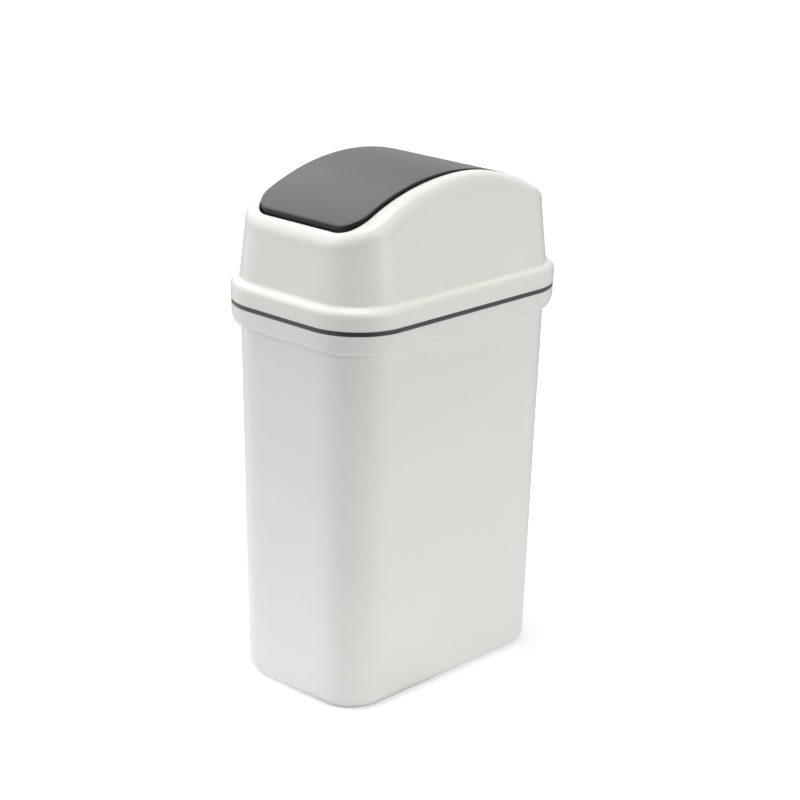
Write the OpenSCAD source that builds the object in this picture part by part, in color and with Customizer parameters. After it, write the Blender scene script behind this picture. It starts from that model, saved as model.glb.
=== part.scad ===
// Countertop trash can with a swing lid: a tapered bin body, a dark ring that traps the
// bag on the rim, a lift-off cover, and an arched flap that swings on two stub pins.
// X is the short side, Y the long side with the front at -Y, Z is up. Millimetres.

/* [Plan] */
// Width of the rim over the ring, along X
rim_w = 125.2; // [115:0.1:140]
// Depth of the rim over the ring, along Y
rim_d = 191.4; // [180:0.1:215]
// Plan radius of the rim's corners
corner_r = 35.4; // [30:0.1:40]

/* [Bin body] */
// Height of the body's rim above the counter
body_h = 237.2; // [180:0.1:260]
// Wall thickness of the bin body
body_wall = 2.0; // [1.6:0.1:2.4]
// How far the wall stands in from the rim, just under the collar
wall_in_top = 5.8; // [5:0.1:7]
// How far the wall stands in from the rim, carried down to the counter
wall_in_foot = 10.3; // [8:0.1:13]
// Radius that rolls the wall under at the counter
foot_r = 7.0; // [4:0.1:9]
// Height of the collar that steps out below the rim
collar_h = 12.6; // [12:0.1:20]
// Height of the soft rounding under the collar's outer edge
collar_round = 9.5; // [5:0.1:10]
// Radius of the inside corner where the collar meets the wall
collar_cove = 0.8; // [0.5:0.1:2]
// Width of the flat rim that the body stands on
stand_w = 5.0; // [3:0.1:8]
// Height of the hollow under the floor
stand_hollow = 1.2; // [0.6:0.1:2.5]
// Thickness of the floor
floor_t = 2.4; // [1.6:0.1:4]

/* [Bag ring] */
// Thickness of the ring's lip that shows between body and cover
ring_t = 2.8; // [2:0.1:4]
// Wall of the two flanges of the ring
flange_t = 1.6; // [1.2:0.1:2.2]
// How far the lower flange reaches into the body
flange_down = 5.0; // [3:0.1:5.4]
// How far the upper flange reaches into the cover
flange_up = 5.5; // [4:0.1:6.5]
// Clearance of the ring in the body and in the cover, on each side
ring_gap = 0.35; // [0.3:0.05:0.5]

/* [Cover] */
// Wall thickness of the cover
cover_wall = 2.0; // [1.6:0.1:2.2]
// How far the cover's skirt stands proud of the ring
skirt_out = 0.3; // [0:0.05:0.6]
// Height of the cover's straight skirt
skirt_h = 7.5; // [7.2:0.1:12]
// Radius of the shoulder above the skirt
shoulder_r = 4.2; // [3:0.1:5]
// Radius of the inside corner between shoulder and side wall
shoulder_cove = 2.4; // [1.5:0.1:4]
// How far the side wall stands in from the rim, at the shoulder
side_in = 5.0; // [4.5:0.1:7]
// How far the side wall leans in for each millimetre of height
side_draft = 0.11; // [0.08:0.005:0.13]
// Height of the cover's arch above the ring, at its crest
arch_rise = 76.3; // [72:0.1:90]
// Radius of the cover's arch, front to back
arch_r = 150.0; // [145:0.5:200]
// How far behind the middle the arch has its crest
arch_crest_y = 1.5; // [0:0.1:5]
// How far the opening lies in from the rim, along the two sides
open_in_side = 20.3; // [18:0.1:21]
// How far the opening lies in from the rim, at the front and the back
open_in_end = 15.8; // [14:0.1:17]
// Height over which the side wall rolls over to the opening
brow_h = 10.5; // [8:0.1:12]
// Fullness of the brow's curve along the two sides: 2 is an ellipse, more is squarer
side_full = 3.0; // [2:0.1:4]
// Fullness of the brow's curve at the front and the back
end_full = 2.2; // [2:0.1:4]
// Radius of the edge around the opening
edge_r = 0.5; // [0.3:0.05:0.8]

/* [Flap] */
// Plan radius of the flap's corners
flap_corner_r = 13.4; // [10:0.1:20]
// Thickness of the flap's panel
flap_t = 2.2; // [1.8:0.1:2.6]
// Height of the flap's crest above the cover's crest
flap_proud = 1.7; // [0.8:0.1:2]
// Radius of the flap's arch, front to back
flap_arch_r = 157.0; // [150:0.5:200]
// Radius that rounds the flap's upper edge
flap_edge_r = 0.8; // [0.5:0.1:2]
// Height of the flap's turned-down edge
flap_lip_h = 5.4; // [4.5:0.1:6.5]
// How far the turned-down edge leans in at its foot
flap_lip_draft = 0.5; // [0.3:0.05:0.8]
// Gap between flap and cover along the two sides
side_gap = 0.7; // [0.5:0.05:1.2]
// Gap between flap and cover at the front and the back
end_gap = 0.9; // [0.8:0.05:1.6]

/* [Pivot] */
// Depth of the pivot's axis below the flap's crest
pivot_drop = 7.3; // [6.5:0.1:9]
// Radius of the flap's two stub pins
pin_r = 2.0; // [1.5:0.05:2.2]
// Radial clearance of a pin in its lug
pin_gap = 0.08; // [0.03:0.01:0.1]
// Thickness of the cover's hinge lugs
lug_t = 3.0; // [2:0.1:3.2]
// Outer radius of a hinge lug around its bore
lug_r = 4.6; // [4:0.1:5]
// Thickness of the flap's ears, which carry the pins
ear_t = 2.4; // [2:0.1:3]
// Outer radius of an ear around its pin
ear_r = 4.2; // [3.6:0.1:5]
// Width of an ear where it meets the panel
ear_root = 16.0; // [12:0.1:22]
// Space left between an ear and the lug beside it
ear_gap = 0.8; // [0.5:0.05:1]

/* [Hidden] */

// steps round a plan corner, and along a side that follows an arch
corner_steps = 9;
arch_steps = 12;
// steps in a large and in a small rounding
round_steps = 5;
fillet_steps = 3;
round_fn = 48;
overlap = 0.3;

ring_top = body_h + ring_t;
arch_top = ring_top + arch_rise;
flap_top = arch_top + flap_proud;
pivot_z = flap_top - pivot_drop;
// half sizes of the cover's opening, and of the flap that swings in it
open_hx = rim_w / 2 - open_in_side;
open_hy = rim_d / 2 - open_in_end;
flap_hx = open_hx - side_gap;
flap_hy = open_hy - end_gap;
open_r = flap_corner_r + (side_gap + end_gap) / 2;

// ---- plan outlines -------------------------------------------------------------------
// A rounded rectangle of half sizes hx, hy, run anticlockwise from +X. The two long
// sides get extra points, so that they can follow an arch.
function corner_points(cx, cy, r, start) =
    [for (i = [0 : corner_steps])
        let (a = start + 90 * i / corner_steps)
        [cx + r * cos(a), cy + r * sin(a)]];

function side_points(x, y0, y1, steps) =
    steps < 2 ? [] : [for (i = [1 : steps - 1]) [x, y0 + (y1 - y0) * i / steps]];

function plan(hx, hy, r, steps) =
    let (cx = hx - r, cy = hy - r)
    concat(
        corner_points(cx, cy, r, 0),
        corner_points(-cx, cy, r, 90),
        side_points(-hx, cy, -cy, steps),
        corner_points(-cx, -cy, r, 180),
        corner_points(cx, -cy, r, 270),
        side_points(hx, -cy, cy, steps)
    );

function flat_ring(hx, hy, r, z, steps) = [for (p = plan(hx, hy, r, steps)) [p[0], p[1], z]];

// a ring that stands in from the rim's outline by "inset", at height z
function rim_ring(inset, z, steps = 1) =
    flat_ring(rim_w / 2 - inset, rim_d / 2 - inset, corner_r - inset, z, steps);

// height of an arch of radius r and crest (crest_y, top) at y
function arch(y, r, crest_y, top) = top - r + sqrt(r * r - (y - crest_y) * (y - crest_y));

// ---- skins over a stack of rings -----------------------------------------------------
// Rings run upwards on the outside and down again on the inside. "closed" joins the last
// ring to the first, and otherwise both ends are capped by strips across X.
module skin(rings, steps, closed) {
    n = corner_steps;
    count = len(rings[0]);
    levels = len(rings);
    last = closed ? levels - 1 : levels - 2;
    first_right = 3 * n + steps + 2;
    strips = 2 * n + steps - 1;
    top = (levels - 1) * count;
    walls = [for (j = [0 : last]) for (i = [0 : count - 1])
        let (a = j * count, b = ((j + 1) % levels) * count, k = (i + 1) % count)
        [a + i, b + i, b + k, a + k]];
    start_cap = [for (k = [0 : strips])
        [(first_right + k) % count, (first_right + k + 1) % count,
            first_right - 2 - k, first_right - 1 - k]];
    end_cap = [for (f = start_cap) [top + f[3], top + f[2], top + f[1], top + f[0]]];
    polyhedron(
        points = [for (ring = rings) each ring],
        faces = closed ? walls : concat(walls, start_cap, end_cap),
        convexity = 8
    );
}

// a bar along X with a true round section, between x0 and x1
module bar_x(r, x0, x1, z) {
    translate([x0, 0, z]) rotate([0, 90, 0]) cylinder(r = r, h = x1 - x0, $fn = round_fn);
}

module both_sides() {
    children();
    mirror([1, 0, 0]) children();
}

// ---- bin body ------------------------------------------------------------------------
function body_in(z) = wall_in_foot + (wall_in_top - wall_in_foot) * z / (body_h - collar_h);

module bin_body() {
    step_z = body_h - collar_h;
    floor_z = stand_hollow + floor_t;
    inner_foot_r = foot_r - body_wall / 2;
    ledge_z = step_z + body_wall;
    hollow_in = body_in(0) + foot_r + stand_w;
    under = [
        rim_ring(hollow_in + stand_hollow, stand_hollow),
        rim_ring(hollow_in, 0)
    ];
    foot = [for (i = [0 : round_steps])
        let (a = 90 * i / round_steps)
        rim_ring(body_in(foot_r) + foot_r * (1 - sin(a)), foot_r * (1 - cos(a)))];
    cove = [for (i = [0 : fillet_steps])
        let (a = 90 * i / fillet_steps)
        rim_ring(wall_in_top - collar_cove * (1 - cos(a)), step_z - collar_cove * (1 - sin(a)))];
    collar = [for (i = [0 : round_steps])
        let (a = 90 * i / round_steps, reach = wall_in_top - collar_cove)
        rim_ring(reach * (1 - sin(a)), step_z + collar_round * (1 - cos(a)))];
    rim = [rim_ring(0, body_h), rim_ring(body_wall, body_h)];
    ledge = [for (i = [round_steps : -1 : 0])
        let (a = 90 * i / round_steps, reach = wall_in_top - collar_cove)
        rim_ring(body_wall + reach * (1 - sin(a)),
            ledge_z + (collar_round - body_wall) * (1 - cos(a)))];
    inner_top = [rim_ring(body_in(ledge_z - collar_cove) + body_wall, ledge_z - collar_cove)];
    inner_foot = [for (i = [round_steps : -1 : 0])
        let (a = 90 * i / round_steps)
        rim_ring(body_in(inner_foot_r + floor_z) + body_wall + inner_foot_r * (1 - sin(a)),
            floor_z + inner_foot_r * (1 - cos(a)))];
    color("#f2f2ef")
        skin(concat(under, foot, cove, collar, rim, ledge, inner_top, inner_foot), 1, false);
}

// ---- bag ring ------------------------------------------------------------------------
// The lip lies on the body's rim. The lower flange folds the bag down inside the collar,
// and the upper one keeps the cover's skirt in its place.
module bag_ring() {
    down_in = body_wall + ring_gap;
    up_in = cover_wall - skirt_out + ring_gap;
    lip_r = ring_t / 8;
    inner_in = max(down_in, up_in) + flange_t;
    rings = [
        rim_ring(down_in + flange_t / 4, body_h - flange_down),
        rim_ring(down_in, body_h - flange_down + flange_t / 4),
        rim_ring(down_in, body_h),
        rim_ring(lip_r, body_h),
        rim_ring(0, body_h + lip_r),
        rim_ring(0, ring_top - lip_r),
        rim_ring(lip_r, ring_top),
        rim_ring(up_in, ring_top),
        rim_ring(up_in, ring_top + flange_up - flange_t / 4),
        rim_ring(up_in + flange_t / 4, ring_top + flange_up),
        rim_ring(inner_in - flange_t / 4, ring_top + flange_up),
        rim_ring(inner_in, ring_top + flange_up - flange_t / 4),
        rim_ring(inner_in, body_h - flange_down + flange_t / 4),
        rim_ring(inner_in - flange_t / 4, body_h - flange_down)
    ];
    color("#4c4d4f") skin(rings, 1, true);
}

// ---- cover ---------------------------------------------------------------------------
function side_at(z) = side_in + side_draft * (z - shoulder_top);
shoulder_top = ring_top + skirt_h + shoulder_r + shoulder_cove;

// Point i of the side wall's outline where the brow begins above it. The wall leans in all
// the way up, so it stands further in where the arch is high.
function brow_foot(i, edge_z, depth) =
    let (inset = side_at(edge_z - brow_h) + depth)
    plan(rim_w / 2 - inset, rim_d / 2 - inset, corner_r - inset, arch_steps)[i];

// A ring of the brow: t runs from 0 on the side wall to 1 at the opening. Its height
// follows the opening's arch, and "depth" sets it below the outer surface.
function brow_ring(t, depth) =
    let (edge = plan(open_hx, open_hy, open_r, arch_steps))
    [for (i = [0 : len(edge) - 1])
        let (
            sideways = max(0, abs(edge[i][0]) - (open_hx - open_r)) / open_r,
            full = end_full + (side_full - end_full) * sideways,
            blend = 1 - pow(cos(90 * t), 2 / full),
            fall = 1 - pow(sin(90 * t), 2 / full),
            edge_z = arch(edge[i][1], arch_r, arch_crest_y, arch_top),
            p = brow_foot(i, edge_z, depth) * (1 - blend) + edge[i] * blend
        )
        [p[0], p[1], edge_z - depth - (brow_h - depth) * fall]];

// the opening's edge, "inset" away from it and "depth" below the outer surface
function opening_ring(inset, depth) =
    [for (p = plan(open_hx + inset, open_hy + inset, open_r + inset, arch_steps))
        [p[0], p[1], arch(p[1], arch_r, arch_crest_y, arch_top) - depth]];

module cover_shell() {
    skirt_in = cover_wall - skirt_out;
    shoulder_z = ring_top + skirt_h;
    reach = side_in + skirt_out - shoulder_cove;
    skirt = [
        rim_ring(-skirt_out, ring_top, arch_steps),
        rim_ring(-skirt_out, shoulder_z, arch_steps)
    ];
    shoulder = [for (i = [1 : round_steps])
        let (a = 90 * i / round_steps)
        rim_ring(reach * (1 - cos(a)) - skirt_out, shoulder_z + shoulder_r * sin(a), arch_steps)];
    cove = [for (i = [1 : fillet_steps])
        let (a = 90 * i / fillet_steps)
        rim_ring(side_in - shoulder_cove * (1 - sin(a)),
            shoulder_z + shoulder_r + shoulder_cove * (1 - cos(a)), arch_steps)];
    brow = [for (i = [0 : round_steps + 1]) brow_ring(i / (round_steps + 2), 0)];
    edge = [
        opening_ring(edge_r, 0),
        opening_ring(0, edge_r),
        opening_ring(0, cover_wall)
    ];
    brow_inside = [for (i = [round_steps : -1 : 0]) brow_ring(i / (round_steps + 1), cover_wall)];
    inside = [
        rim_ring(side_in + cover_wall, shoulder_top - cover_wall / 2, arch_steps),
        rim_ring(side_in + cover_wall / 2, shoulder_z + shoulder_r - cover_wall / 2, arch_steps),
        rim_ring(skirt_in + shoulder_r / 4, shoulder_z + shoulder_r / 4, arch_steps),
        rim_ring(skirt_in, shoulder_z - cover_wall / 4, arch_steps),
        rim_ring(skirt_in, ring_top, arch_steps)
    ];
    skin(concat(skirt, shoulder, cove, brow, edge, brow_inside, inside), arch_steps, true);
}

module cover() {
    lug_x = flap_hx + ear_gap;
    lug_top = arch_top - cover_wall * 0.8;
    color("#f4f3ee") difference() {
        union() {
            cover_shell();
            both_sides() {
                bar_x(lug_r, lug_x, lug_x + lug_t, pivot_z);
                translate([lug_x, -lug_r, pivot_z]) cube([lug_t, 2 * lug_r, lug_top - pivot_z]);
            }
        }
        both_sides() bar_x(pin_r + pin_gap, lug_x - overlap, lug_x + lug_t + overlap, pivot_z);
    }
}

// ---- swing flap ----------------------------------------------------------------------
// a ring of the flap, standing in by "inset" and lying "depth" below the arched face
function flap_ring(inset, depth) =
    [for (p = plan(flap_hx - inset, flap_hy - inset, flap_corner_r - inset, arch_steps))
        [p[0], p[1], arch(p[1], flap_arch_r, 0, flap_top) - depth]];

module flap_shell() {
    lip_t = flap_t * 0.8;
    foot = flap_ring(flap_lip_draft, flap_lip_h);
    round_edge = [for (i = [0 : round_steps])
        let (a = 90 * i / round_steps)
        flap_ring(flap_edge_r * (1 - cos(a)), flap_edge_r * (1 - sin(a)))];
    // the tray under the panel is cut by a second skin, so that both have plain caps
    difference() {
        skin(concat([foot], round_edge), arch_steps, false);
        skin(
            [flap_ring(flap_lip_draft + lip_t, flap_lip_h + overlap), flap_ring(lip_t, flap_t)],
            arch_steps, false
        );
    }
}

module ear() {
    ear_x = flap_hx - ear_t;
    root_z = flap_top - flap_t;
    translate([ear_x, 0, 0]) rotate([90, 0, 90]) linear_extrude(ear_t) union() {
        translate([0, pivot_z]) circle(r = ear_r, $fn = round_fn);
        polygon([[-ear_root / 2, root_z], [-ear_r, pivot_z], [ear_r, pivot_z], [ear_root / 2, root_z]]);
    }
}

module swing_flap() {
    pin_reach = flap_hx + ear_gap + lug_t;
    color("#7d7e80") union() {
        flap_shell();
        both_sides() {
            ear();
            bar_x(pin_r, flap_hx - ear_t, pin_reach, pivot_z);
        }
    }
}

bin_body();
bag_ring();
cover();
swing_flap();
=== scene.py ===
import math

import bmesh
import bpy
from mathutils import Matrix, Vector


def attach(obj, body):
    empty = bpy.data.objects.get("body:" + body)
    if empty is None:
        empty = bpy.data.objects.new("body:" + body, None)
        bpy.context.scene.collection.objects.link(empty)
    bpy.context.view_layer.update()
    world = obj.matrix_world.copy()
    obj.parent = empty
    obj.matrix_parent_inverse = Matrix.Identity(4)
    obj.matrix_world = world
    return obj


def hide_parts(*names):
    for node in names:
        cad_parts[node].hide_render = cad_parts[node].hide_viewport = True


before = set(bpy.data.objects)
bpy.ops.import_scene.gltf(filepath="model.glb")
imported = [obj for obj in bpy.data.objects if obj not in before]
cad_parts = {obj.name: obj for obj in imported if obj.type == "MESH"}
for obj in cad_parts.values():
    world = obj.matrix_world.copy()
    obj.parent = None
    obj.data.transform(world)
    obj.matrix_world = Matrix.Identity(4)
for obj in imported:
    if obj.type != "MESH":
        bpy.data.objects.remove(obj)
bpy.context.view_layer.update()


# ---- Bin body --------------------------------------------------------------------------
# The tapered waste bin itself, one shell of white polypropylene about 2 mm thick. It is
# injection moulded upside down, so its walls lean and every corner is rounded. A collar
# steps out below the rim, and a flat rim round a hollow floor stands on the counter.
mm = 0.001
rim_half_x, rim_half_y, rim_corner = 62.6, 95.7, 35.4
body_top, wall, rim_round = 237.2, 2.0, 0.4
collar_foot, collar_reach, collar_curve, collar_edge = 224.6, 5.0, 9.5, 0.8
foot_in, lean = 10.3, 4.5  # how far in from the rim the wall stands at the foot, and gives back
foot_round, foot_rim, floor_top, inner_round = 7.0, 5.0, 3.6, 6.0
same_place = 1e-4  # points closer than this are one


def outline(half_x, half_y, corner, corner_parts, long_parts, short_parts):
    """A rounded rectangle of edges: a square has its corners bevelled and its sides cut up.
    Each point keeps the centre it is rounded about, and the way that it faces."""
    mesh = bmesh.new()
    bmesh.ops.create_grid(mesh, x_segments=1, y_segments=1, size=1.0)
    bmesh.ops.scale(mesh, vec=(half_x, half_y, 1.0), verts=mesh.verts[:])
    bmesh.ops.bevel(mesh, geom=mesh.verts[:], offset=corner, offset_type="OFFSET",
                    segments=corner_parts, profile=0.5, affect="VERTICES", material=-1)
    bmesh.ops.delete(mesh, geom=mesh.faces[:], context="FACES_ONLY")
    ends = {e: e.verts[0].co - e.verts[1].co for e in mesh.edges}
    long_sides = [e for e in mesh.edges if abs(ends[e].x) < same_place]
    short_sides = [e for e in mesh.edges if abs(ends[e].y) < same_place]
    bmesh.ops.subdivide_edges(mesh, edges=long_sides, cuts=long_parts - 1)
    bmesh.ops.subdivide_edges(mesh, edges=short_sides, cuts=short_parts - 1)
    centre = mesh.verts.layers.float_vector.new("centre")
    facing = mesh.verts.layers.float_vector.new("facing")
    for v in mesh.verts:
        in_x, in_y = half_x - corner, half_y - corner
        x, y = (max(-limit, min(limit, c)) for c, limit in ((v.co.x, in_x), (v.co.y, in_y)))
        v[centre] = Vector((x, y, 0.0))
        v[facing] = (v.co - v[centre]).normalized()
    return mesh


def sweep(mesh, stations):
    """Extrudes the outline through its stations. Each says where a point of it then lies."""
    centre = mesh.verts.layers.float_vector["centre"]
    facing = mesh.verts.layers.float_vector["facing"]
    edges, verts = mesh.edges[:], mesh.verts[:]
    for number, station in enumerate(stations):
        if number:
            made = bmesh.ops.extrude_edge_only(mesh, edges=edges)["geom"]
            verts = [g for g in made if isinstance(g, bmesh.types.BMVert)]
            fresh = set(verts)
            edges = [e for v in verts for e in v.link_edges if e.other_vert(v) in fresh]
            edges = list(dict.fromkeys(edges))
        for v in verts:
            v.co = station(v[centre], v[facing])
    return edges


def rim_at(inset, height):
    """A station that stands in from the rim's outline by inset, at a height."""
    return lambda centre, facing: centre + facing * (rim_corner - inset) + Vector((0, 0, height))


def climb(inset_0, height_0, inset_1, height_1, near=1.2, every=16.0):
    """Stations up a straight wall, with a close one by each end, to keep its shading flat."""
    length = math.hypot(inset_1 - inset_0, height_1 - height_0)
    parts = max(1, round(length / every))
    along = [near / length] + [i / parts for i in range(1, parts)] + [1 - near / length]
    step_in, step_up = inset_1 - inset_0, height_1 - height_0
    return [rim_at(inset_0 + step_in * t, height_0 + step_up * t) for t in along]


def quarter(steps, start=0):
    """Angles of a quarter turn, as (1 - sine, 1 - cosine)."""
    turns = [math.pi / 2 * i / steps for i in range(start, steps + 1)]
    return [(1 - math.sin(a), 1 - math.cos(a)) for a in turns]


def close_shell(mesh):
    """Merges what meets, drops the layers that placed the points, and turns faces outwards."""
    bmesh.ops.remove_doubles(mesh, verts=mesh.verts[:], dist=same_place)
    bmesh.ops.recalc_face_normals(mesh, faces=mesh.faces[:])
    for name in ("centre", "facing"):
        layer = mesh.verts.layers.float_vector.get(name)
        if layer:
            mesh.verts.layers.float_vector.remove(layer)


def piece(name, mesh, material, sharp_from=None):
    """Makes the finished object, in metres, with its place in its mesh. Edges that turn by
    more than sharp_from degrees shade sharp."""
    bmesh.ops.scale(mesh, vec=(mm, mm, mm), verts=mesh.verts[:])
    for face in mesh.faces:
        face.smooth = True
    data = bpy.data.meshes.new(name)
    mesh.to_mesh(data)
    mesh.free()
    if sharp_from:
        data.set_sharp_from_angle(angle=math.radians(sharp_from))
    data.materials.append(material)
    made = bpy.data.objects.new(name, data)
    bpy.context.scene.collection.objects.link(made)
    return made


def colour(hex_code):
    """An sRGB hex code as linear red, green, blue and alpha."""
    parts = [int(hex_code[i:i + 2], 16) / 255 for i in (0, 2, 4)]
    return [c / 12.92 if c <= 0.04045 else ((c + 0.055) / 1.055) ** 2.4 for c in parts] + [1.0]


def blank(name):
    """A new material with no nodes yet, and its node tree."""
    material = bpy.data.materials.new(name)
    material.use_nodes = True
    material.node_tree.nodes.clear()
    return material, material.node_tree


def add(tree, kind, settings=None, **inputs):
    """Adds a node. A socket is named, or numbered where its name isn't its own, as in _7, and
    takes a value or the socket that it is linked from."""
    made = tree.nodes.new(kind)
    for name, value in (settings or {}).items():
        setattr(made, name, value)
    for name, value in inputs.items():
        socket = made.inputs[int(name[1:]) if name[0] == "_" else name.replace("_", " ")]
        if isinstance(value, bpy.types.NodeSocket):
            tree.links.new(value, socket)
        else:
            socket.default_value = value
    return made


def body_in(height):
    """How far the body's wall stands in from the rim at a height."""
    return foot_in - lean * height / collar_foot


body_plan = outline(rim_half_x, rim_half_y, rim_corner, 20, 24, 12)
hollow = body_in(0) + foot_round + foot_rim
inner_foot, inner_turn = floor_top + inner_round, collar_foot + wall - collar_edge
# the step up to the hollow floor, 1.2 mm high, with its edges softened
stations = [rim_at(hollow + inset, height) for inset, height in (
    (2.4, 1.2), (1.2, 1.2), (0.9, 1.1), (0.15, 0.15), (-0.15, 0.02), (-0.6, 0.0))]
# up the outside: the foot's rounding, the leaning wall, and the collar with its upright face
stations += [rim_at(body_in(foot_round) + foot_round * s, foot_round * c) for s, c in quarter(12)]
stations += climb(body_in(foot_round), foot_round, body_in(collar_foot), collar_foot - collar_edge)
stations += [rim_at(body_in(collar_foot) - collar_edge * c, collar_foot - collar_edge * s)
             for s, c in quarter(5)]
stations += [rim_at(collar_reach * s, collar_foot + collar_curve * c) for s, c in quarter(14, 1)]
stations += climb(0.0, collar_foot + collar_curve, 0.0, body_top - rim_round, near=0.4)
# over the rim, then down the inside by the same forms, a wall's thickness in
stations += [rim_at(rim_round * c, body_top - rim_round * s) for s, c in quarter(3)]
stations += [rim_at(wall - rim_round * s, body_top - rim_round * c) for s, c in quarter(3)]
stations += [rim_at(wall + collar_reach * s, collar_foot + wall + (collar_curve - wall) * c)
             for s, c in reversed(quarter(10))]
stations += [rim_at(body_in(inner_turn) + wall, inner_turn)]
stations += climb(body_in(inner_turn) + wall, inner_turn, body_in(inner_foot) + wall, inner_foot)
stations += [rim_at(body_in(inner_foot) + wall + inner_round * s, floor_top + inner_round * c)
             for s, c in reversed(quarter(8))]
stations += [rim_at(body_in(inner_foot) + wall + inner_round + 1.5, floor_top)]
inner_edge = sweep(body_plan, stations)
bmesh.ops.edgeloop_fill(body_plan, edges=inner_edge)
bmesh.ops.edgeloop_fill(body_plan, edges=[e for e in body_plan.edges if e.is_boundary])
close_shell(body_plan)

# Polypropylene, injection moulded in a finely satined mould: a soft even sheen, a slightly
# translucent edge, and broad faint waves where the wall sank as it cooled.
satin_white, tree = blank("white polypropylene, satin moulded")
place = add(tree, "ShaderNodeTexCoord").outputs["Object"]
# cloudiness of the melt, about 60 mm across
clouds = add(tree, "ShaderNodeTexNoise", Vector=place, Scale=16.0, Detail=2.0, Roughness=0.5)
tint = add(tree, "ShaderNodeMix", {"data_type": "RGBA"}, _0=clouds.outputs["Fac"],
           _6=colour("EBECEA"), _7=colour("EFEFEC"))
# the satined steel's grain is 0.2 mm; it is drawn at 0.9 mm so that it shows
grain = add(tree, "ShaderNodeTexNoise", Vector=place, Scale=1100.0, Detail=2.0, Roughness=0.6)
sheen = add(tree, "ShaderNodeMapRange", Value=clouds.outputs["Fac"], To_Min=0.30, To_Max=0.38)
waves = add(tree, "ShaderNodeTexNoise", Vector=place, Scale=22.0, Detail=1.0, Roughness=0.4)
sunk = add(tree, "ShaderNodeBump", Strength=0.35, Distance=0.0006, Height=waves.outputs["Fac"])
grained = add(tree, "ShaderNodeBump", Strength=0.10, Distance=0.00008,
              Height=grain.outputs["Fac"], Normal=sunk.outputs["Normal"])
plastic = add(tree, "ShaderNodeBsdfPrincipled", {"subsurface_method": "RANDOM_WALK"},
              Base_Color=tint.outputs[2], Roughness=sheen.outputs["Result"],
              IOR=1.49, Normal=grained.outputs["Normal"],
              Subsurface_Weight=0.12, Subsurface_Radius=(1.0, 0.9, 0.8), Subsurface_Scale=0.002)
add(tree, "ShaderNodeOutputMaterial", Surface=plastic.outputs["BSDF"])

bin_body_shell = piece("bin_body_shell", body_plan, satin_white, sharp_from=50)
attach(bin_body_shell, "bin")
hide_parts("bin_body")


# ---- Bag ring --------------------------------------------------------------------------
# A loop of dark grey polypropylene, moulded with a smooth face. Its lip is the dark line
# under the cover; the flange below it traps the bag and the one above it holds the cover.
ring_top, flange_foot, flange_top = 240.0, 232.2, 245.5
lower_out, upper_out, flange_in, flange_round = 2.35, 2.05, 3.95, 0.5
lip_round, on_lip, close_by, mid_bore = 0.35, 1.2, 0.3, 235.0  # the last three keep flats flat
ring_plan = outline(rim_half_x, rim_half_y, rim_corner, 20, 24, 12)
lip_edge = [(lip_round * c, lip_round * (1 - s)) for s, c in quarter(4)]
# up the outside of the lower flange, out and round the lip
stations = [rim_at(lower_out + flange_round * s, flange_foot + flange_round * c)
            for s, c in quarter(3)]
stations += [rim_at(lower_out, body_top - close_by), rim_at(lower_out, body_top)]
stations += [rim_at(on_lip, body_top)]
stations += [rim_at(inset, body_top + lip_round - height) for inset, height in reversed(lip_edge)]
stations += [rim_at(inset, ring_top - lip_round + height) for inset, height in lip_edge]
stations += [rim_at(on_lip, ring_top)]
# up and over the upper flange, and down the inside
stations += [rim_at(upper_out, ring_top), rim_at(upper_out, ring_top + close_by)]
stations += [rim_at(upper_out + flange_round * c, flange_top - flange_round * s)
             for s, c in quarter(3)]
stations += [rim_at(flange_in - flange_round * s, flange_top - flange_round * c)
             for s, c in reversed(quarter(3))]
stations += [rim_at(flange_in, ring_top), rim_at(flange_in, mid_bore)]
stations += [rim_at(flange_in - flange_round * c, flange_foot + flange_round * s)
             for s, c in quarter(3)]
stations += [rim_at(lower_out + flange_round, flange_foot)]
sweep(ring_plan, stations)
close_shell(ring_plan)

# Polypropylene coloured through, off a smooth mould: a dark line with a thin soft glint.
smooth_grey, tree = blank("dark grey polypropylene, smooth moulded")
place = add(tree, "ShaderNodeTexCoord").outputs["Object"]
# flow of the melt round the loop, about 25 mm long
flow = add(tree, "ShaderNodeTexNoise", Vector=place, Scale=40.0, Detail=2.0, Roughness=0.5)
tint = add(tree, "ShaderNodeMix", {"data_type": "RGBA"}, _0=flow.outputs["Fac"],
           _6=colour("38393A"), _7=colour("404142"))
sheen = add(tree, "ShaderNodeMapRange", Value=flow.outputs["Fac"], To_Min=0.28, To_Max=0.38)
sunk = add(tree, "ShaderNodeBump", Strength=0.3, Distance=0.0002, Height=flow.outputs["Fac"])
plastic = add(tree, "ShaderNodeBsdfPrincipled", Base_Color=tint.outputs[2],
              Roughness=sheen.outputs["Result"], IOR=1.49, Normal=sunk.outputs["Normal"])
add(tree, "ShaderNodeOutputMaterial", Surface=plastic.outputs["BSDF"])

bag_ring_loop = piece("bag_ring_loop", ring_plan, smooth_grey, sharp_from=50)
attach(bag_ring_loop, "ring")
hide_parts("bag_ring")


# ---- Cover -----------------------------------------------------------------------------
# The lift-off top, one shell of white polypropylene 2 mm thick. A straight skirt and a
# soft shoulder carry a leaning side wall, which rolls over to an arched brow round the
# opening. Two lugs with bores, moulded on behind the brow, carry the flap's pins.
arch_top, arch_round, crest_y, fuller_by = 316.3, 150.0, 1.5, 0.95
open_half_x, open_half_y, open_corner, open_round = 42.3, 79.85, 14.2, 0.5
skirt_out, skirt_top, skirt_edge = 0.3, 247.5, 0.35
shoulder_in, shoulder_up, shoulder_turn = 2.9, 4.2, 2.4
side_in, side_lean, brow_high = 5.0, 0.11, 10.5
brow_full, corner_full = 2.2, 0.8
shoulder_top = skirt_top + shoulder_up + shoulder_turn
skirt_in, inner_side_foot, foot_chamfer = wall - skirt_out, 253.1, 0.3


def arch(y, radius, crest, top):
    """Height at y of an arch that runs front to back."""
    return top - radius + math.sqrt(radius * radius - (y - crest) ** 2)


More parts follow.
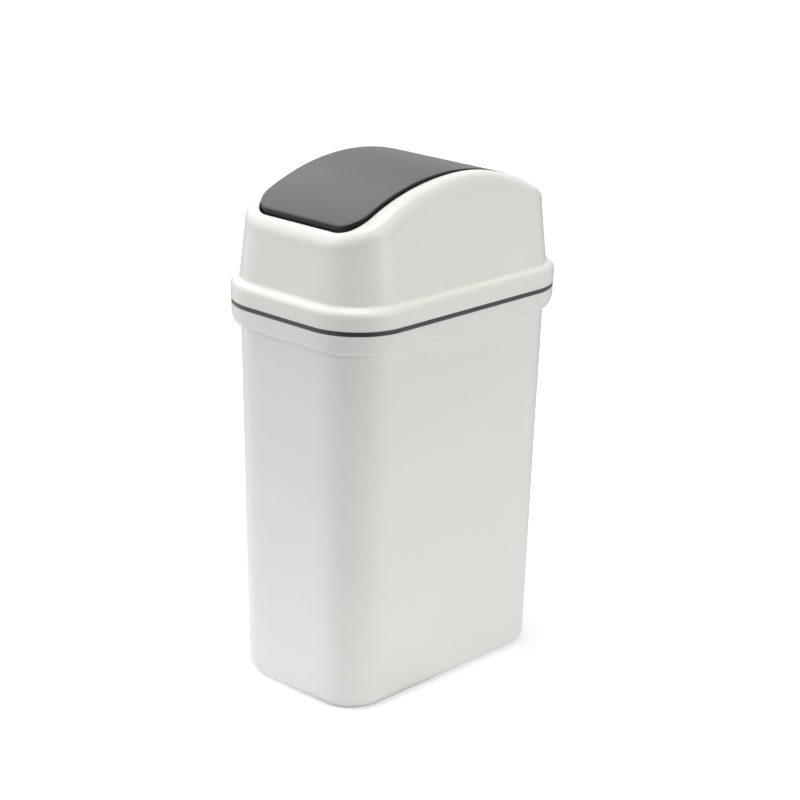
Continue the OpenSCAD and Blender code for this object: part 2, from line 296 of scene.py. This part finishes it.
def eased(t):
    """0 below 0, 1 above 1, and a smooth step between them."""
    t = max(0.0, min(1.0, t))
    return t * t * (3 - 2 * t)


def opening_point(centre, facing, inset):
    """A point of the opening's outline, moved out by inset, and the arch's height over it."""
    across = centre.x * (open_half_x - open_corner) / (rim_half_x - rim_corner)
    along = centre.y * (open_half_y - open_corner) / (rim_half_y - rim_corner)
    edge = Vector((across, along, 0.0)) + facing * (open_corner + inset)
    # behind its middle the arch stands a little fuller, and hides the flap's edge there: that
    # grows from y = -25 to 25 mm, and is gone again from 62 to 80 mm
    fuller = fuller_by * eased((edge.y + 25) / 50) * (1 - eased((edge.y - 62) / 18))
    return edge, arch(edge.y, arch_round, crest_y, arch_top) + fuller


def opening_at(inset, depth):
    """A station of the opening's edge, below the arch by depth."""
    def station(centre, facing):
        edge, height = opening_point(centre, facing, inset)
        return Vector((edge.x, edge.y, height - depth))
    return station


def brow_at(t, depth):
    """A station of the brow: t goes from 0 on the side wall to 1 at the opening."""
    def station(centre, facing):
        edge, height = opening_point(centre, facing, 0.0)
        sideways = max(0.0, abs(edge.x) - (open_half_x - open_corner)) / open_corner
        # the rollover is a superellipse, fuller at the corners and along the sides
        power = 2 / (brow_full + corner_full * sideways)
        blend = 1 - math.cos(math.pi / 2 * t) ** power
        fall = 1 - math.sin(math.pi / 2 * t) ** power
        inset = side_in + side_lean * (height - brow_high - shoulder_top) + depth
        foot = centre + facing * (rim_corner - inset)
        p = foot * (1 - blend) + edge * blend
        return Vector((p.x, p.y, height - depth - (brow_high - depth) * fall))
    return station


def between(low, high, part):
    """A station part of the way from one station to another."""
    return lambda centre, facing: low(centre, facing).lerp(high(centre, facing), part)


cover_plan = outline(rim_half_x, rim_half_y, rim_corner, 20, 36, 14)
side_foot, side_head = rim_at(side_in, shoulder_top), brow_at(0.0, 0.0)
inner_low, inner_high = rim_at(side_in + wall, inner_side_foot), brow_at(0.0, wall)
# the skirt and the shoulder, which turns up into the side wall
stations = [rim_at(-skirt_out + skirt_edge * s, ring_top + skirt_edge * c) for s, c in quarter(4)]
stations += [rim_at(-skirt_out, height) for height in (242.0, 245.5, skirt_top - 0.6)]
stations += [rim_at(-skirt_out + shoulder_in * c, skirt_top + shoulder_up * (1 - s))
             for s, c in quarter(12)]
stations += [rim_at(side_in - shoulder_turn * s, skirt_top + shoulder_up + shoulder_turn * c)
             for s, c in quarter(8, 1)]
# the side wall, with closer rings by its ends, and the brow, nearly to the opening
stations += [between(side_foot, side_head, part)
             for part in (0.03, 0.15, 0.3, 0.5, 0.7, 0.88, 0.97)]
stations += [brow_at(0.97 * i / 24, 0.0) for i in range(25)]
# the opening's edge: rounded above, a wall's thickness deep, and softened below
stations += [opening_at(open_round * s, open_round * c) for s, c in quarter(4)]
stations += [opening_at(inset, depth)
             for inset, depth in ((0.0, 0.9), (0.0, 1.6), (0.12, 1.88), (0.4, wall))]
# back down the inside of the brow and the side wall
stations += [brow_at(0.92 - 0.92 * i / 12, wall) for i in range(13)]
stations += [between(inner_high, inner_low, part) for part in (0.05, 0.3, 0.6, 0.95, 1.0)]
# the inside of the shoulder, and of the skirt down to the flat that rests on the ring's lip
stations += [rim_at(inset, height) for inset, height in (
    (6.0, 250.7), (4.2, 249.6), (2.75, 248.55), (1.9, 247.8), (skirt_in, 247.0))]
stations += [rim_at(skirt_in, height) for height in (245.5, 241.5, ring_top + foot_chamfer)]
stations += [rim_at(skirt_in - foot_chamfer, ring_top), rim_at(-skirt_out + skirt_edge, ring_top)]
sweep(cover_plan, stations)
close_shell(cover_plan)

# Polypropylene a little warmer and smoother than the body's, so that the brow and the
# shoulder carry soft highlights.
warm_white, tree = blank("warm white polypropylene, smooth moulded")
place = add(tree, "ShaderNodeTexCoord").outputs["Object"]
clouds = add(tree, "ShaderNodeTexNoise", Vector=place, Scale=18.0, Detail=2.0, Roughness=0.5)
tint = add(tree, "ShaderNodeMix", {"data_type": "RGBA"}, _0=clouds.outputs["Fac"],
           _6=colour("EEEFEA"), _7=colour("F2F3EE"))
# the mould's polish is far finer than a pixel; it is drawn at 0.9 mm so that it shows
grain = add(tree, "ShaderNodeTexNoise", Vector=place, Scale=1100.0, Detail=2.0, Roughness=0.6)
sheen = add(tree, "ShaderNodeMapRange", Value=clouds.outputs["Fac"], To_Min=0.26, To_Max=0.32)
waves = add(tree, "ShaderNodeTexNoise", Vector=place, Scale=26.0, Detail=1.0, Roughness=0.4)
sunk = add(tree, "ShaderNodeBump", Strength=0.3, Distance=0.0005, Height=waves.outputs["Fac"])
grained = add(tree, "ShaderNodeBump", Strength=0.06, Distance=0.00008,
              Height=grain.outputs["Fac"], Normal=sunk.outputs["Normal"])
plastic = add(tree, "ShaderNodeBsdfPrincipled", {"subsurface_method": "RANDOM_WALK"},
              Base_Color=tint.outputs[2], Roughness=sheen.outputs["Result"],
              IOR=1.49, Normal=grained.outputs["Normal"],
              Subsurface_Weight=0.12, Subsurface_Radius=(1.0, 0.9, 0.75), Subsurface_Scale=0.002)
add(tree, "ShaderNodeOutputMaterial", Surface=plastic.outputs["BSDF"])

cover_shell = piece("cover_shell", cover_plan, warm_white, sharp_from=50)
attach(cover_shell, "lid")
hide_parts("cover")

# the two hinge lugs: a plate with a round bore, square where it runs up into the brow
pivot_height = 310.7
lug_in, lug_thick, lug_round, bore, lug_edge = 42.4, 3.0, 4.6, 2.08, 0.25
sharp_turn = 1.2  # radians; an edge that turns by more is a corner of the plate


def hinge_plate(hole, edge, high, flare, thick):
    """A round plate with a hole. Its upper half is made straight, out to flare and up to high."""
    mesh = bmesh.new()
    rings = [bmesh.ops.create_circle(mesh, segments=48, radius=r, cap_ends=False)["verts"]
             for r in (hole, edge)]
    for v in rings[1]:
        if v.co.y > 0:
            across, up = v.co.xy / max(abs(v.co.x), v.co.y)
            v.co = Vector((across * (edge + flare * up), high * up, 0.0))
    faces = bmesh.ops.bridge_loops(mesh, edges=mesh.edges[:])["faces"]
    made = bmesh.ops.extrude_face_region(mesh, geom=faces)["geom"]
    raised = [g for g in made if isinstance(g, bmesh.types.BMVert)]
    bmesh.ops.translate(mesh, vec=(0, 0, thick), verts=raised)
    return mesh


def stand_both_sides(plate, inner_x):
    """Stands the plate up across X, its hole on the hinge's axis, and copies it to the left."""
    for axis in "XZ":
        turn = Matrix.Rotation(math.pi / 2, 3, axis)
        bmesh.ops.rotate(plate, matrix=turn, verts=plate.verts[:])
    low = min(v.co.x for v in plate.verts)
    bmesh.ops.translate(plate, vec=(inner_x - low, 0, pivot_height), verts=plate.verts[:])
    whole = plate.verts[:] + plate.edges[:] + plate.faces[:]
    bmesh.ops.mirror(plate, geom=whole, axis="X", merge_dist=-1)
    bmesh.ops.recalc_face_normals(plate, faces=plate.faces[:])


lugs = hinge_plate(bore, lug_round, lug_round, 0.0, lug_thick)
bmesh.ops.recalc_face_normals(lugs, faces=lugs.faces[:])
corners = [e for e in lugs.edges if e.calc_face_angle() > sharp_turn]
rims = [e for e in corners if abs(e.verts[0].co.z - e.verts[1].co.z) < same_place]
bmesh.ops.bevel(lugs, geom=rims, offset=lug_edge, offset_type="OFFSET", segments=2, profile=0.5,
                affect="EDGES", material=-1)
stand_both_sides(lugs, lug_in)
hinge_lugs = piece("hinge_lugs", lugs, warm_white, sharp_from=40)
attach(hinge_lugs, "lid")


# ---- Swing flap ------------------------------------------------------------------------
# The grey flap that pushes open both ways, one moulding of polypropylene. Its panel is
# arched front to back like the cover, stands a little proud, and has a turned-down edge. Two
# ears under it carry stub pins, which snap into the cover's lugs.
flap_half_x, flap_half_y, flap_corner = 41.6, 78.95, 13.4
flap_top, arch_front, arch_behind, panel = 318.0, 153.5, 149.0, 2.2
face_edge, lip_high, lip_lean, lip_wall, lip_fillet, lip_round = 0.8, 5.4, 0.5, 1.76, 0.6, 0.3
flap_plan = outline(flap_half_x, flap_half_y, flap_corner, 16, 48, 24)


def flap_height(y):
    """Height of the flap's face at y: it falls a little faster behind the pins."""
    return arch(y, arch_behind if y > 0 else arch_front, 0.0, flap_top)


def flap_at(inset, depth):
    """A station in from the flap's outline, and below its arched face by depth."""
    def station(centre, facing):
        p = centre + facing * (flap_corner - inset)
        return Vector((p.x, p.y, flap_height(p.y) - depth))
    return station


# from under the panel, round the fillet and down the inside of the turned-down edge
inner_lip = lip_lean + lip_wall
inward = (1.2, 2.0, 3.5, 5.5, 8.5, 11.6)
stations = [flap_at(inset, panel) for inset in reversed(inward[3:])]
stations += [flap_at(lip_wall + lip_fillet * s, panel + lip_fillet * c) for s, c in quarter(4)]
# round its foot, up the outside and over onto the face
stations += [flap_at(inset, depth) for inset, depth in (
    (lip_wall + 0.25, 4.0), (inner_lip, lip_high - lip_round), (inner_lip - 0.1, lip_high - 0.1),
    (inner_lip - lip_round, lip_high), (lip_lean + lip_round, lip_high),
    (lip_lean + 0.1, lip_high - 0.1), (lip_lean, lip_high - lip_round), (0.3, 3.6), (0.04, 1.4))]
stations += [flap_at(face_edge * c, face_edge * s) for s, c in quarter(8)]
stations += [flap_at(inset, 0.0) for inset in inward]
top_edge = sweep(flap_plan, stations)
bottom_edge = [e for e in flap_plan.edges if e.is_boundary and e not in set(top_edge)]
for loop, depth in ((top_edge, 0.0), (bottom_edge, panel)):
    # the panel's middle: quads between the two long sides, laid onto the arch
    limit = max(abs(v.co.x) for e in loop for v in e.verts) - 1e-3
    sides = [e for e in loop if all(abs(v.co.x) > limit for v in e.verts)]
    middle = bmesh.ops.grid_fill(flap_plan, edges=sides, mat_nr=0, use_smooth=True,
                                 use_interp_simple=True)["faces"]
    for v in {v for f in middle for v in f.verts}:
        v.co.z = flap_height(v.co.y) - depth
close_shell(flap_plan)
for face in flap_plan.faces:
    # the turned-down edge and the underside, which don't face up, take the second, darker
    # material: painted shade, as if the gap's shadow lay on them
    face.material_index = 1 if face.normal.z < 0.35 else 0

# Polypropylene coloured through, off a spark-eroded mould: a fine even grain that keeps
# the face matt, and mid grey where light falls across it.
matt_grey, tree = blank("dark grey polypropylene, spark-eroded grain")
place = add(tree, "ShaderNodeTexCoord").outputs["Object"]
clouds = add(tree, "ShaderNodeTexNoise", Vector=place, Scale=20.0, Detail=3.0, Roughness=0.5)
tint = add(tree, "ShaderNodeMix", {"data_type": "RGBA"}, _0=clouds.outputs["Fac"],
           _6=colour("19191A"), _7=colour("1F1F20"))
# the eroded pits are 0.15 mm across; they are drawn at 0.8 mm so that they show
pits = add(tree, "ShaderNodeTexNoise", Vector=place, Scale=1300.0, Detail=3.0, Roughness=0.65)
sheen = add(tree, "ShaderNodeMapRange", Value=clouds.outputs["Fac"], To_Min=0.47, To_Max=0.54)
pitted = add(tree, "ShaderNodeBump", Strength=0.25, Distance=0.0001, Height=pits.outputs["Fac"])
plastic = add(tree, "ShaderNodeBsdfPrincipled", Base_Color=tint.outputs[2],
              Roughness=sheen.outputs["Result"], IOR=1.49, Coat_Weight=0.42,
              Coat_Roughness=0.5, Normal=pitted.outputs["Normal"])
add(tree, "ShaderNodeOutputMaterial", Surface=plastic.outputs["BSDF"])

# The same plastic, smoother as off polished steel, with a darker colour and a weaker gloss:
# painted shade, so that the edge and the underside look near black as in the gap's shadow, with
# slight flow marks in the gloss.
shade_painted_grey, tree = blank("dark grey polypropylene, painted shade")
place = add(tree, "ShaderNodeTexCoord").outputs["Object"]
flow = add(tree, "ShaderNodeTexNoise", Vector=place, Scale=30.0, Detail=2.0, Roughness=0.5)
tint = add(tree, "ShaderNodeMix", {"data_type": "RGBA"}, _0=flow.outputs["Fac"],
           _6=colour("111112"), _7=colour("161617"))
sheen = add(tree, "ShaderNodeMapRange", Value=flow.outputs["Fac"], To_Min=0.36, To_Max=0.46)
plastic = add(tree, "ShaderNodeBsdfPrincipled", Base_Color=tint.outputs[2],
              Roughness=sheen.outputs["Result"], IOR=1.49, Specular_IOR_Level=0.35)
add(tree, "ShaderNodeOutputMaterial", Surface=plastic.outputs["BSDF"])

flap_panel = piece("flap_panel", flap_plan, matt_grey, sharp_from=50)
# the second slot holds the darker material, the painted shade of the edge and the underside
flap_panel.data.materials.append(shade_painted_grey)
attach(flap_panel, "flap")
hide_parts("swing_flap")

# the ears, which flare out to the flap's edge, and their stub pins
ear_thick, ear_round, ear_high, ear_flare = 2.4, 4.2, 5.3, 3.8
pin_round, pin_end, pin_bevel, pin_tip = 2.0, 45.4, 0.4, 0.85
ear_in = flap_half_x - ear_thick
ears = hinge_plate(pin_round, ear_round, ear_high, ear_flare, ear_thick)
# the bore left in the plate becomes the pin, which runs out to its bevelled end
bore_walls = [f for f in ears.faces if all(v.co.xy.length < pin_round + 0.01 for v in f.verts)]
bmesh.ops.delete(ears, geom=bore_walls, context="FACES")
open_edges = [e for e in ears.edges if e.is_boundary]
pin = [e for e in open_edges if all(v.co.z > ear_thick / 2 for v in e.verts)]
plug = [e for e in open_edges if all(v.co.z < ear_thick / 2 for v in e.verts)]
bmesh.ops.edgeloop_fill(ears, edges=plug)
for part, reach in ((1.0, pin_end - pin_bevel), (pin_tip, pin_end)):
    made = bmesh.ops.extrude_edge_only(ears, edges=pin)["geom"]
    verts = [g for g in made if isinstance(g, bmesh.types.BMVert)]
    fresh = set(verts)
    pin = list(dict.fromkeys(e for v in verts for e in v.link_edges if e.other_vert(v) in fresh))
    for v in verts:
        flat = v.co.xy.normalized() * pin_round * part
        v.co = Vector((flat.x, flat.y, reach - ear_in))
bmesh.ops.edgeloop_fill(ears, edges=pin)
bmesh.ops.recalc_face_normals(ears, faces=ears.faces[:])
stand_both_sides(ears, ear_in)
# the ears take the same darker material: painted shade under the flap
flap_ears = piece("flap_ears", ears, shade_painted_grey, sharp_from=40)
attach(flap_ears, "flap")


# ---- Studio ----------------------------------------------------------------------------
# A plain white paper floor that runs out of sight, a white room, and soft lamps above and on
# all sides, so that the corner nearest the camera is the darkest. The camera is fitted to the
# photograph.
floor_half, floor_gap = 9000.0, 0.05  # the gap keeps the floor off the foot's own face
ground = bmesh.new()
bmesh.ops.create_grid(ground, x_segments=1, y_segments=1, size=floor_half)
bmesh.ops.translate(ground, vec=(0, 0, -floor_gap), verts=ground.verts[:])


def bright_towards(tree, way, sides, edge):
    """How bright it is in a direction: the sum of sides, each an azimuth from the front end, a
    height and a level, which fades out to nothing at edge, the cosine of how far off it lies."""
    total = 0.0
    for azimuth, height, level in sides:
        a, h = math.radians(azimuth), math.radians(height)
        middle = (math.sin(a) * math.cos(h), -math.cos(a) * math.cos(h), math.sin(h))
        near = add(tree, "ShaderNodeVectorMath", {"operation": "DOT_PRODUCT"}, _0=way, _1=middle)
        part = add(tree, "ShaderNodeMapRange", {"interpolation_type": "SMOOTHSTEP"},
                   Value=near.outputs["Value"], From_Min=edge, From_Max=0.95,
                   To_Min=0.0, To_Max=level)
        total = add(tree, "ShaderNodeMath", {"operation": "ADD"}, _0=total,
                    _1=part.outputs["Result"]).outputs[0]
    return total


# the paper: matt to the light, white to the eye, and in reflections a painted glow that is dim
# towards the camera
paper, tree = blank("matt white studio paper")
place = add(tree, "ShaderNodeTexCoord").outputs["Object"]
away = add(tree, "ShaderNodeVectorMath", {"operation": "LENGTH"}, _0=place).outputs["Value"]
# the paper's fibres, drawn at 3 mm
fibres = add(tree, "ShaderNodeTexNoise", Vector=place, Scale=300.0)
tint = add(tree, "ShaderNodeMix", {"data_type": "RGBA"}, _0=fibres.outputs["Fac"],
           _6=colour("F9F9F9"), _7=colour("FBFBFB"))
# the sheet is about a metre wide, so its bounce lights the foot of the bin more than the top
sheet = add(tree, "ShaderNodeMapRange", {"interpolation_type": "SMOOTHSTEP"}, Value=away,
            From_Min=0.38, From_Max=0.75, To_Min=0.0, To_Max=0.85)
tint = add(tree, "ShaderNodeMix", {"data_type": "RGBA"}, _0=sheet.outputs["Result"],
           _6=tint.outputs[2], _7=colour("000000"))
matt = add(tree, "ShaderNodeBsdfDiffuse", Color=tint.outputs[2])
# near the bin the paper keeps its shadow, and further off it is plain white to the eye
white = add(tree, "ShaderNodeMapRange", {"interpolation_type": "SMOOTHSTEP"}, Value=away,
            From_Min=0.12, From_Max=0.5, To_Min=0.3, To_Max=1.0)
ray = add(tree, "ShaderNodeLightPath").outputs
lift = add(tree, "ShaderNodeMath", {"operation": "MULTIPLY"}, _0=ray["Is Camera Ray"],
           _1=white.outputs["Result"])
glow = add(tree, "ShaderNodeEmission", Strength=lift.outputs[0])
both = add(tree, "ShaderNodeAddShader", _0=matt.outputs[0], _1=glow.outputs[0])
# painted reflection: glossy rays see the paper glow by where it lies, brightest to the front left,
# less to the back right, and hardly towards the camera
way = add(tree, "ShaderNodeVectorMath", {"operation": "NORMALIZE"}, _0=place).outputs[0]
level = bright_towards(tree, way, [(-46, 0, 1.2), (134, 0, 0.88), (44, 0, 0.1)], 0.3)
painted_glow = add(tree, "ShaderNodeEmission", Strength=level)
mirrored = add(tree, "ShaderNodeMath", {"operation": "MAXIMUM"}, _0=ray["Is Glossy Ray"],
               _1=ray["Is Transmission Ray"]).outputs[0]
seen = add(tree, "ShaderNodeMixShader", _0=mirrored, _1=both.outputs[0], _2=painted_glow.outputs[0])
add(tree, "ShaderNodeOutputMaterial", Surface=seen.outputs[0])
floor = piece("floor", ground, paper)

# the room: plain white to the eye, a soft light from the left for matt faces, and white
# screens to the left, behind and above that gloss shows
world = bpy.data.worlds.new("white room")
bpy.context.scene.world = world
world.use_nodes = True
tree = world.node_tree
tree.nodes.clear()
way = add(tree, "ShaderNodeTexCoord").outputs["Generated"]
soft = bright_towards(tree, way, [(-46, 15, 1.0), (134, 15, 0.2), (44, 42, 0.14)], 0.45)
screens = [(-46, 15, 1.0), (224, 25, 1.1), (44, 70, 1.2), (44, 42, 0.2)]
gloss = bright_towards(tree, way, screens, 0.45)
ray = add(tree, "ShaderNodeLightPath").outputs
mirrored = add(tree, "ShaderNodeMath", {"operation": "MAXIMUM"}, _0=ray["Is Glossy Ray"],
               _1=ray["Is Transmission Ray"]).outputs[0]
level = add(tree, "ShaderNodeMapRange", Value=mirrored, To_Min=soft, To_Max=gloss)
level = add(tree, "ShaderNodeMath", {"operation": "MAXIMUM"}, _0=level.outputs["Result"],
            _1=ray["Is Camera Ray"]).outputs[0]
sky = add(tree, "ShaderNodeBackground", Color=colour("FFFFFF"), Strength=level)
add(tree, "ShaderNodeOutputWorld", Surface=sky.outputs["Background"])

# the lamps: each a name, a place and a width in metres, watts and a tone
lamps = [
    ("overhead softbox", (0.1, -0.1, 2.6), 1.0, 25.0, "FFFEFB"),
    ("left softbox", (-0.9, -1.15, 1.1), 0.9, 6.8, "FBFDFF"),
    ("right softbox", (1.45, -0.05, 1.0), 0.9, 6.8, "FFFEFC"),
    ("low right softbox", (1.3, 0.5, 0.45), 0.7, 4.0, "FFFEFC"),
    ("back softbox", (-1.4, 0.35, 1.3), 1.2, 8.0, "FFFEFB"),
]
lit_point = Vector((0, 0, 0.16))
for name, where, size, watts, tone in lamps:
    lamp = bpy.data.lights.new(name, "AREA")
    lamp.shape, lamp.size, lamp.energy, lamp.color = "SQUARE", size, watts, colour(tone)[:3]
    softbox = bpy.data.objects.new(name, lamp)
    softbox.location = where
    softbox.rotation_euler = (lit_point - Vector(where)).to_track_quat("-Z", "Y").to_euler()
    bpy.context.scene.collection.objects.link(softbox)

# the camera, fitted to the photograph: its turn from the front end, height, roll and distance
# from the bin's middle, the aim beside and above that middle, and the focal length in pixels
turn, tilt, roll, distance = 0.7625495779, 0.3361244418, 0.020401972, 1.326942
aim_right, aim_up, focal = 0.00437477, 0.01796726, 2153.035
photo_width, sensor_width = 800, 36.0
bin_middle, upright = Vector((0, 0, 0.15)), Vector((0, 0, 1))
back = Vector((math.sin(turn) * math.cos(tilt), -math.cos(turn) * math.cos(tilt), math.sin(tilt)))
eye = bin_middle + back * distance
aim = bin_middle + Vector((math.cos(turn), math.sin(turn), 0)) * aim_right + upright * aim_up
ahead = (aim - eye).normalized()
right = ahead.cross(upright).normalized()
up = right.cross(ahead)
rolled_right = right * math.cos(roll) + up * math.sin(roll)
rolled_up = up * math.cos(roll) - right * math.sin(roll)
lens = bpy.data.cameras.new("camera")
lens.sensor_width, lens.lens = sensor_width, focal * sensor_width / photo_width
lens.clip_start, lens.clip_end = 0.01, 50.0
camera = bpy.data.objects.new("camera", lens)
camera.matrix_world = Matrix((rolled_right, rolled_up, -ahead)).transposed().to_4x4()
camera.matrix_world.translation = eye
bpy.context.scene.collection.objects.link(camera)
bpy.context.scene.camera = camera
bpy.context.scene.view_settings.view_transform = "Standard"

bpy.context.view_layer.update()
